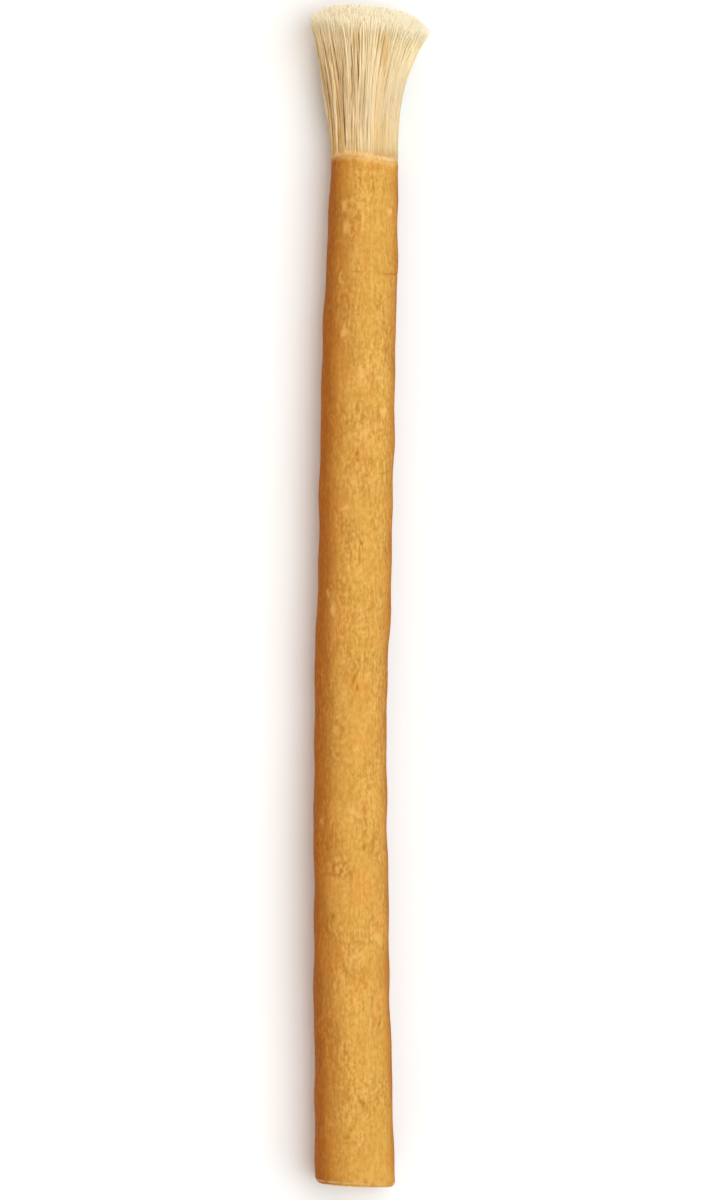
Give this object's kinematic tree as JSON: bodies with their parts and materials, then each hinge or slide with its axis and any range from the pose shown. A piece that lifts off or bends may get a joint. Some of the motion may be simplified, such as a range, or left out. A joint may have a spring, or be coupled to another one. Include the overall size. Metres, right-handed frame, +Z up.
{
  "type": "miswak stick",
  "caption": "Chewing stick for cleaning teeth: a cut twig with its bark on, peeled at one end, where the wood's fibres are frayed into a flared brush.",
  "frame": {"origin": "on the surface that the stick lies on, under the middle of its bounding box", "axes": "+Y along the twig towards the brush, +Z up from the surface it lies on, +X across to the side the twig's slight curve bends away from"},
  "size_m": [0.015, 0.15, 0.0121],
  "materials": {
    "bark": "dry tan bark, slightly rough",
    "wood_fibre": "dry cream wood fibre at the brush and the cut end"
  },
  "bodies": {
    "root": {"miswak_stick": "bark"}
  },
  "joints": []
}
